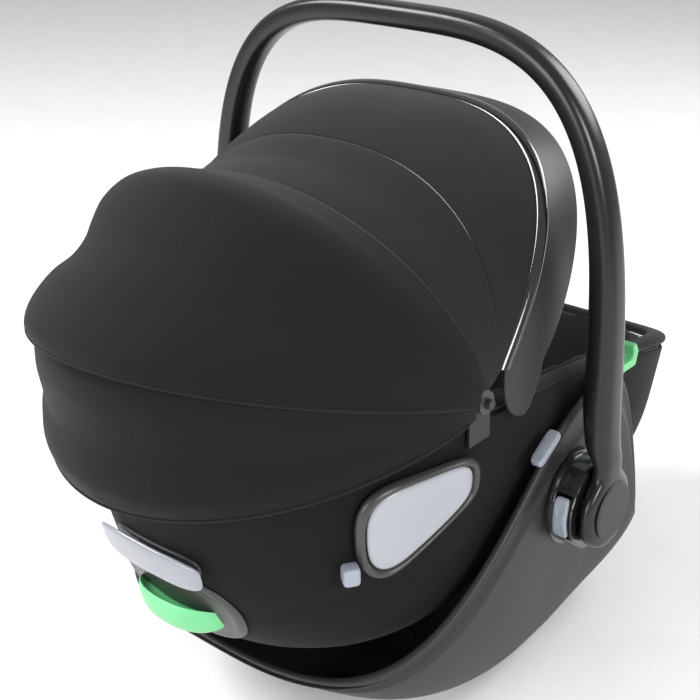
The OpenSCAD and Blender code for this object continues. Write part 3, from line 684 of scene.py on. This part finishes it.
# plain parts keep their shape and get rounded edges and a finish
def refine(node, finish, round=0.6):
    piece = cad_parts[node]
    piece.data.materials.clear()
    piece.data.materials.append(finishes[finish])
    joinUp = piece.modifiers.new("joinedFaces", "WELD")
    joinUp.merge_threshold = 0.01 * mm
    flat = piece.modifiers.new("flatFaces", "DECIMATE")
    flat.decimate_type, flat.angle_limit = "DISSOLVE", rad(1.5)
    if round:
        soften = piece.modifiers.new("roundedEdges", "BEVEL")
        soften.width, soften.segments, soften.limit_method = round * mm, 3, "ANGLE"
        soften.angle_limit = rad(35)


sides = {"left": -1, "right": 1}
refined = {
    "foot_pads": ("rubberBlack", 0.8), "floor_screws": ("platedSteel", 0),
    "buckle_tongues": ("platedSteel", 0.5), "foam_liner": ("beadFoam", 0), "rear_bow": ("trimPlastic", 0),
    "middle_bow": ("trimPlastic", 0),
}
refinedPairs = {
    "cradle": ("trimPlastic", 0.6), "boss": ("bossGloss", 0.9), "pivot_pin": ("platedSteel", 0.4),
    "lock_gear": ("trimPlastic", 0.3), "lap_belt_guide": ("mintPlastic", 1.5), "runner": ("trimPlastic", 0.6),
    "canopy_mount": ("shellPlastic", 0.7),
}
for node, look in refined.items():
    refine(node, *look)
for node, look in refinedPairs.items():
    for name in sides:
        refine(node + "_" + name, *look)
print("plain parts refined")


def rounded(across, up):  # a squarish oval, squarer the larger its two numbers
    return lambda a: (sep(math.cos(a), across), sep(math.sin(a), up))


def plate(name, outline, rows, surface, finish, body, columns=48, levels=1):
    # a closed rounded plate: rows run from the middle of its front, over the edge, to the middle of its back
    def place(u, v):
        share, height = rows[round(v * (len(rows) - 1))]
        s, t = outline(u * 2 * math.pi)
        return surface(s * share, t * share, height)

    made = patch(columns, len(rows) - 1, place)
    return settle(made, name, finish, body, levels=levels)


# hub caps
hubCap = {"radius": 25.3, "near": 220.3}


def makeCaps():
    rows = [(0, 1.9), (0.5, 1.9), (0.9, 1.9), (0.955, 1.8), (0.985, 1.4), (1, 0.7), (1, 0.1), (0.97, 0), (0, 0)]
    for name, side in sides.items():
        def surface(s, t, height):
            return at(side * (hubCap["near"] + height), s * hubCap["radius"],
                      handle["hubHeight"] + t * hubCap["radius"])
        cap = plate(name + "HubCap", lambda a: (math.cos(a), math.sin(a)), rows, surface, "capMatte", "handle", 64)
        stands(cap, "cap_plastic", "hub_cap_" + name)


makeCaps()

# release buttons
handleButton = {"near": 187.4, "far": 200.4, "inner": 33, "outer": 40.1, "halfAngle": 28.5}


def makeHandleButtons():
    b = handleButton
    rows = [(0, 1), (0.6, 1), (0.86, 0.99), (0.95, 0.93), (0.99, 0.8), (1, 0.6), (1, 0.2), (0.97, 0), (0, 0)]
    for name, side in sides.items():
        def surface(s, t, height):
            r, a = lerp(b["inner"], b["outer"], height), rad(t * b["halfAngle"])
            x = (b["near"] + b["far"]) / 2 + s * (b["far"] - b["near"]) / 2
            return at(side * x, r * math.cos(a), handle["hubHeight"] + r * math.sin(a))
        made = plate(name + "HandleButton", rounded(5, 7), rows, surface, "buttonGrey", "handle_button_" + name)
        stands(made, "blue_grey_plastic", "handle_button_" + name)


makeHandleButtons()

adaptorButton = {"x": 179, "y": 40, "clear": 12.8, "lean": -30, "size": (5.5, 17, 4.5)}


def makeAdaptorButtons():
    b = adaptorButton
    rows = [(0, 1.25), (0.4, 1.22), (0.75, 1.1), (0.9, 0.95), (0.98, 0.7), (1, 0.3), (1, -0.2), (0.97, -0.45),
            (0.9, -0.5), (0, -0.5)]
    turn = Matrix.Rotation(rad(b["lean"]), 3, "X")
    for name, side in sides.items():
        middle = Vector((side * b["x"], b["y"], baseRim(b["y"]) + b["clear"]))

        def surface(s, t, height):
            crown = height * b["size"][2] * (0.86 if height > 1 else 1)
            return at(*(middle + turn @ Vector((s * b["size"][0], t * b["size"][1], crown))))
        made = plate(name + "AdaptorButton", rounded(4.5, 7), rows, surface, "buttonGrey", "adaptor_button_" + name)
        stands(made, "blue_grey_plastic", "adaptor_button_" + name)


makeAdaptorButtons()
print("buttons made")

# side impact pods
pod = {"from": 3, "to": 33, "depth": -6.7, "square": (3.4, 2.7)}
podButton = {"angle": 35, "share": 0.592, "depth": -15, "turn": 36, "size": (6, 6.5, 7.5)}


def podSurface(side):
    def surface(s, t, height):
        along, up = (s + 1) / 2, (t + 1) / 2
        low, high = lerp(0.74, 0.53, smooth(along)), lerp(0.925, 0.825, along)
        p = seatPoint(rad(lerp(pod["from"], pod["to"], along)), lerp(low, high, up), pod["depth"] - height)
        return at(side * p.x, p.y, p.z)
    return surface


def makePods():
    frameRows = [(0, 2.2), (0.4, 2.2), (0.8, 2.2), (0.86, 2.4), (0.875, 4), (0.885, 6.2), (0.9, 7.3), (0.93, 7.8),
                 (0.965, 7.2), (1, 5.2), (1.02, 3), (1.02, 1), (1, 0.1), (0.6, 0), (0, 0)]
    panelRows = [(0, 8.2), (0.3, 8.1), (0.6, 7.7), (0.76, 7), (0.825, 6.2), (0.855, 5.2), (0.86, 4), (0.85, 3),
                 (0.7, 2.6), (0, 2.6)]
    for name, side in sides.items():
        surface = podSurface(side)
        outline = rounded(*pod["square"])
        ring = plate(name + "PodFrame", outline, frameRows, surface, "podFrame", "pod_" + name, 72)
        stands(ring, "trim_plastic", "pod_frame_" + name)
        panel = plate(name + "PodPanel", outline, panelRows, surface, "podSilver", "pod_" + name, 72)
        stands(panel, "pod_silver", "pod_panel_" + name)

        def knob(s, t, height):
            b = podButton
            p = seatPoint(rad(b["angle"]), b["share"], b["depth"])
            local = Vector((height * b["size"][0], s * b["size"][1], t * b["size"][2]))
            turned = Matrix.Rotation(rad(b["turn"]), 3, "Z") @ local
            return at(side * (p.x + turned.x), p.y + turned.y, p.z + turned.z)
        rows = [(0, 1), (0.6, 1), (0.84, 0.97), (0.95, 0.8), (1, 0.5), (1, -0.8), (0.95, -1), (0, -1)]
        made = plate(name + "PodButton", rounded(5, 5), rows, knob, "buttonGrey", "pod_button_" + name, 32)
        stands(made, "blue_grey_plastic", "pod_button_" + name)


makePods()

# rear bezel, recline paddle and shoulder belt hook
rear = {
    "bezelOut": -3.6, "bezelFrom": 64, "bezelLow": 0.235, "bezelHigh": 0.475,
    "paddleAngle": 20, "paddleLow": 0.455, "paddleHigh": 0.575, "paddleOut": -9.7, "flatter": 6, "raisedEnds": 2,
    "stemAngle": 17, "stemLow": 0.475, "stemHigh": 0.545,
    "hookHalf": 43, "hookShare": 0.37, "hookIn": -6.1,
}


def makeRear():
    def bezelSurface(s, t, height):
        share = lerp(rear["bezelLow"], rear["bezelHigh"], (t + 1) / 2)
        return seatAt(rad(90 - s * (90 - rear["bezelFrom"])), share, rear["bezelOut"] - height)
    rows = [(0, 0.7), (0.5, 0.7), (0.78, 0.8), (0.83, 1.4), (0.87, 2.6), (0.91, 3), (0.96, 2.4), (0.99, 1.4), (1, 0.5),
            (0.98, 0), (0, 0)]
    bezel = plate("rearBezel", rounded(2.3, 2.3), rows, bezelSurface, "podFrame", "seat", 96)
    stands(bezel, "trim_plastic", "rear_bezel")

    def paddleSurface(s, t, height):
        share = lerp(rear["paddleLow"], rear["paddleHigh"], (t + 1) / 2)
        p = seatPoint(rad(90 - s * rear["paddleAngle"]), share, rear["paddleOut"] - height)
        return at(p.x, p.y + rear["flatter"] * s * s, p.z + rear["raisedEnds"] * s * s)
    rows = [(0, 4.4), (0.45, 4.3), (0.75, 3.9), (0.88, 3.3), (0.95, 2.4), (0.99, 1.3), (1, 0.6), (0.985, 0.1),
            (0.8, 0), (0, 0)]
    paddle = plate("reclinePaddle", lambda a: (sep(math.cos(a), 4), sep(math.sin(a), 6) * 0.5 if math.sin(a) > 0
                                               else sep(math.sin(a), 3)),
                   rows, paddleSurface, "paddleGrey", "recline_paddle", 96)
    stands(paddle, "blue_grey_plastic", "recline_paddle")

    def stemSurface(s, t, height):
        share = lerp(rear["stemLow"], rear["stemHigh"], (t + 1) / 2)
        return seatAt(rad(90 - s * rear["stemAngle"]), share, rear["bezelOut"] - height)
    rows = [(0, 3.3), (0.9, 3.3), (1, 2.8), (1, 0.4), (0.97, 0), (0, 0)]
    stem = plate("paddleStem", rounded(3, 3), rows, stemSurface, "trimPlastic", "seat")

    top = seatPoint(rad(90), rear["hookShare"], rear["hookIn"])
    section = [(-9, -25), (-8, -33), (-2, -36), (6, -35), (13, -29), (17, -20), (19, -9), (18, -5), (15.5, -5),
               (13, -9), (8, -14), (2, -17), (-4, -17.5), (-8, -19)]

    def place(u, v):
        x = lerp(-1, 1, u)
        size = max(0.05, (1 - abs(x) ** 3) ** 0.5)
        y, z = section[round(v * len(section)) % len(section)]
        return at(x * rear["hookHalf"], top.y - 3.5 - 6 * x * x + (y * 0.8 + 9) * size - 9,
                  top.z - 15 + (z + 23) * lerp(0.3, 1, size) + 2 * x * x)
    made = patch(40, len(section), place)
    capEnds(made)
    stands(settle(made, "shoulderBeltHook", "mintPlastic", "seat", levels=1), "mint_plastic", "shoulder_belt_hook")


makeRear()
print("rear made")

# piping along the hood's hem and lip
piping = {
    "thick": 1.5,
    "runs": {"lipPiping": ((16.6, 242.5, 1.95), "rear_bow"), "hemPiping": ((-11, 224.4, 2.0), "seat")},
}


def makePiping():
    for name, (line, body) in piping["runs"].items():
        def place(u, v):
            angle, turn = sweepAngle(u, 7), v * 2 * math.pi
            out, along = math.sin(turn) * piping["thick"], math.cos(turn) * piping["thick"]
            p = bowPoint(line, angle, -out)
            lean = rad(line[0])
            return at(p.x, p.y - along * math.sin(lean), p.z + along * math.cos(lean))
        made = patch(140, 8, place)
        settle(made, name, "padCloth", body, levels=1)


makePiping()

# visor
visor = {
    "width": 46, "wider": 9, "wideAt": 0.72, "wideOver": 0.22, "line": (129, 229, 2.85), "halfWidth": 176.1,
    "tip": 44, "tipShare": 0.075, "tipMiddle": 0.62, "rimOut": 1.2,
}


def visorPoint(u, share, inset):
    # u runs along the band from the left tip, over the top, to the right tip; share across it
    v, tipPart = visor, visor["tipShare"]
    fromTop = abs(u - 0.5) * 2
    back = share * (v["width"] + v["wider"] * math.exp(-(((fromTop - v["wideAt"]) / v["wideOver"]) ** 2)))
    if tipPart < u < 1 - tipPart:
        inner = (u - tipPart) / (1 - 2 * tipPart)
        p = bowPoint(v["line"], sweepAngle(inner, 3), inset, v["halfWidth"])
        return Vector((p.x, p.y - back, p.z - back / 5))
    side, drop = (1, (tipPart - u) / tipPart) if u < 0.5 else (-1, (u - 1 + tipPart) / tipPart)
    start = bowPoint(v["line"], rad(3), inset, v["halfWidth"])
    narrow = math.sqrt(max(0.0, 1 - drop ** 2.2))
    across = lerp(v["tipMiddle"] * v["width"], back, narrow)
    return Vector((side * start.x, start.y + 5 * drop - across, start.z - across / 5 - drop * v["tip"]))


def makeVisor():
    rows = [(0, 0.6), (0.01, 0.1), (0.04, 0), (0.2, -0.5), (0.4, -0.9), (0.6, -0.9), (0.8, -0.5), (0.96, 0),
            (0.99, 0.1), (1, 0.6), (1, 2.6), (0.985, 3.1), (0.8, 3.1), (0.5, 3.1), (0.2, 3.1), (0.015, 3.1), (0, 2.6)]

    def place(u, v):
        share, inset = rows[round(v * len(rows)) % len(rows)]
        return at(*visorPoint(lerp(0.0005, 0.9995, u), share, inset))
    made = patch(180, len(rows), place)
    capEnds(made)
    stands(settle(made, "visorBand", "visorSatin", "visor", levels=1), "cap_plastic", "visor_band")
    rim = [(-9, 1.2), (-9.2, -2), (-7, -4.6), (-3.5, -5.6), (0, -4.8), (1.6, -2), (1.2, 2), (-2, 3.6), (-6.5, 3.2)]

    def rimPlace(u, v):
        back, inset = rim[round(v * len(rim)) % len(rim)]
        along = lerp(visor["tipShare"], 1 - visor["tipShare"], u)
        return at(*visorPoint(along, back / visor["width"], inset + visor["rimOut"]))
    made = patch(150, len(rim), rimPlace)
    capEnds(made)
    settle(made, "visorRim", "visorGloss", "visor", levels=1)


makeVisor()
print("visor made")


# rolled rim of the cover
def makeRimRoll():
    def place(u, v):
        turn, angle = v * 2 * math.pi, ringAngle(u)
        foot = smooth(-math.sin(angle) * 1.6)
        high, wide = lerp(0.0155, 0.034, foot), lerp(8.3, 9.5, foot)
        return seatAt(angle, 1.004 + high + high * sep(math.sin(turn), 2.3), 5.2 + wide * sep(math.cos(turn), 2.3))
    made = patch(160, 14, place)
    stands(settle(made, "coverRim", "padCloth", "seat", levels=1), "black_fabric", "rim_trim")


makeRimRoll()


# padded pieces: a slightly small shape swells as cloth, within a cap, and then gets its sewn channels
def swell(piece, voxel, cap, pressure=4.0):
    tool = piece.modifiers.new("remesh", "REMESH")
    tool.mode, tool.voxel_size, tool.use_smooth_shade = "VOXEL", voxel * mm, True
    bake(piece)
    before = [v.co.copy() for v in piece.data.vertices]
    cloth = piece.modifiers.new("swell", "CLOTH")
    cloth.settings.use_pressure = True
    cloth.settings.uniform_pressure_force = pressure
    cloth.settings.effector_weights.gravity = 0
    cloth.settings.quality = 3
    cloth.settings.tension_stiffness = cloth.settings.compression_stiffness = 12
    cloth.collision_settings.use_collision = False
    cloth.point_cache.frame_start, cloth.point_cache.frame_end = 1, 20
    for step in range(1, 21):
        bpy.context.scene.frame_set(step)
    bake(piece)
    bpy.context.scene.frame_set(1)
    for v, rest in zip(piece.data.vertices, before):
        move = v.co - rest
        if move.length > cap * mm:
            v.co = rest + move.normalized() * cap * mm


def bake(piece):
    graph = bpy.context.evaluated_depsgraph_get()
    shaped = bpy.data.meshes.new_from_object(piece.evaluated_get(graph))
    piece.modifiers.clear()
    piece.data = shaped
    for face in shaped.polygons:
        face.use_smooth = True


def sew(piece, depth, width, lines):
    # lines take a point in millimetres from the pivot line and give its distance to the nearest sewn channel
    for v in piece.data.vertices:
        local = Vector((v.co.x / mm, v.co.y / mm - pivotLine, v.co.z / mm))
        gap = lines(local)
        if gap < 3 * width:
            v.co -= v.normal * depth * mm * math.exp(-((gap / width) ** 2))


def finishPad(piece, body, slot, node, levels=1):
    smoother = piece.modifiers.new("smoother", "SUBSURF")
    smoother.levels = smoother.render_levels = levels
    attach(piece, body)
    stands(piece, slot, node)


pads = {
    "seatPad": {"depths": (16, 27.2), "voxel": 6, "cap": 1.9, "sewn": (2.6, 2.6)},
    "insertWings": {"depths": (31.2, 41.4), "voxel": 5, "cap": 1.6, "sewn": (1.8, 2.4)},
    "headrestPad": {"depths": (49, 63.2), "voxel": 5, "cap": 1.9, "sewn": (2.2, 2.4)},
}


def puffed(pad, channels):
    look = pads[pad.name]
    swell(pad, look["voxel"], look["cap"])
    sew(pad, *look["sewn"], channels)


def makeSeatPad():
    outer, inner = pads["seatPad"]["depths"]
    shares = [0.02, 0.07, 0.14, 0.22, 0.32, 0.43, 0.56, 0.7, 0.84, 0.94, 1.0, 1.028]
    rows = [(0, outer, 0.0)] + [(v, outer, 1.0) for v in shares] + [(v, inner, 1.0) for v in reversed(shares)]
    rows += [(0, inner, 0.0)]

    def place(u, v):
        share, depth, spread = rows[round(v * (len(rows) - 1))]
        return seatAt(ringAngle(u), share, depth) if spread else at(0, seat["lowY"], seat["lowZ"] + depth)
    made = patch(96, len(rows) - 1, place)
    pad = settle(made, "seatPad", "padCloth")

    def channels(p):  # two long channels and cross channels over the back rest
        lengthwise = abs(abs(p.x) - 74)
        steps = [-150, -60, 40, 110, 170, 225]
        crosswise = min(abs(p.y - y) for y in steps) if abs(p.x) < 74 else 99
        return min(lengthwise, crosswise)
    puffed(pad, channels)
    finishPad(pad, "seat", "black_fabric", "seat_pad", 1)


def makeInsert():
    joined = bmesh.new()
    shares = [0.15, 0.2, 0.27, 0.36, 0.47, 0.59, 0.7, 0.76, 0.785]
    outer, inner = pads["insertWings"]["depths"]
    rows = [(v, outer) for v in shares] + [(v, inner) for v in reversed(shares)]
    for side in sides.values():
        def place(u, v):
            share, depth = rows[round(v * len(rows)) % len(rows)]
            angle = rad(lerp(-60, 7, u))
            middle, ease = (outer + inner) / 2, min(1.0, 5 * min(u, 1 - u) + 0.35)
            p = seatPoint(angle, share, lerp(middle, depth, ease))
            return at(side * p.x, p.y, p.z)
        wing = patch(30, len(rows), place)
        capEnds(wing)
        data = bpy.data.meshes.new("wing")
        wing.to_mesh(data)
        wing.free()
        joined.from_mesh(data)
        bpy.data.meshes.remove(data)
    pad = settle(joined, "insertWings", "heatherJersey")
    puffed(pad, lambda p: min(abs(p.y - y) for y in (-110, -40, 40)))
    finishPad(pad, "seat", "heather_fabric", "insert_pad", 1)


def makeHeadrest():
    shares = [0.425, 0.47, 0.54, 0.62, 0.7, 0.77, 0.815]
    rows = [(v, 44) for v in shares] + [(v, 46.8) for v in reversed(shares)]

    def shellPlace(u, v):
        share, d = rows[round(v * len(rows)) % len(rows)]
        return seatAt(rad(lerp(27.5, 152.5, u)), share, d)
    made = patch(60, len(rows), shellPlace)
    capEnds(made)
    shell = settle(made, "headrestShell", "trimPlastic", "headrest", round=0.8)
    stands(shell, "trim_plastic", "headrest_shell")
    outer, inner = pads["headrestPad"]["depths"]
    padRows = [(v, outer) for v in shares] + [(v, inner) for v in reversed(shares)]

    def padPlace(u, v):
        share, d = padRows[round(v * len(padRows)) % len(padRows)]
        middle, ease = 56, min(1.0, 6 * min(u, 1 - u) + 0.4)
        return seatAt(rad(lerp(28.5, 151.5, u)), lerp(0.62, share, 0.96), lerp(middle, d, ease))
    made = patch(60, len(padRows), padPlace)
    capEnds(made)
    pad = settle(made, "headrestPad", "heatherJersey")
    puffed(pad, lambda p: abs(abs(p.x) - 58))
    finishPad(pad, "headrest", "charcoal_fabric", "headrest_pad", 1)


makeSeatPad()
makeInsert()
makeHeadrest()
print("padding made")

# harness
harness = {
    "shoulder": [(42, 205, 238), (43, 196, 205), (42, 172, 168), (38, 130, 140), (33, 80, 129), (28, 30, 128),
                 (24, -10, 136), (20, -34, 146)],
    "hip": [(66, 44, 158), (65, 14, 150), (61, -12, 151), (55, -34, 155)],
    "crotch": [(0, -84, 103), (0, -79, 110), (0, -71, 118)],
    "thick": 1.7, "wide": 37, "hipWide": 29,
}


def makeStrap(name, route, width, side, node):
    points = [Vector((side * x, y, z)) for x, y, z in route]
    count = 16 * (len(points) - 1)
    line = [Vector(chain(points, i / count)) for i in range(count + 1)]
    length = sum((b - a).length for a, b in zip(line, line[1:]))

    def place(u, v):
        i = round(v * count)
        run = (line[min(count, i + 1)] - line[max(0, i - 1)]).normalized()
        across = Vector((0, 0, 1)).cross(run)
        across = across.normalized() if across.length > 0.05 else Vector((1, 0, 0))
        return at(*(line[i] + across * (u - 0.5) * width + run.cross(across) * harness["thick"] / 2))
    made = patch(6, count, place, False, (width * mm, length * mm))
    strap = settle(made, name, "webbing", "seat", wall=harness["thick"], round=0.5)
    stands(strap, "webbing", node)


def makeHarness():
    for name, side in sides.items():
        makeStrap(name + "ShoulderStrap", harness["shoulder"], harness["wide"], side, "shoulder_strap_" + name)
        makeStrap(name + "HipStrap", harness["hip"], harness["hipWide"], side, "hip_strap_" + name)
    makeStrap("crotchStrap", harness["crotch"], harness["wide"], 1, "crotch_strap")
    refine("buckle_body", "trimPlastic", 2.2)
    refine("buckle_button", "redButton", 1.2)
    refine("adjuster_housing", "trimPlastic", 1.5)
    refine("adjuster_button", "buttonGrey", 1.0)


makeHarness()
print("harness made")
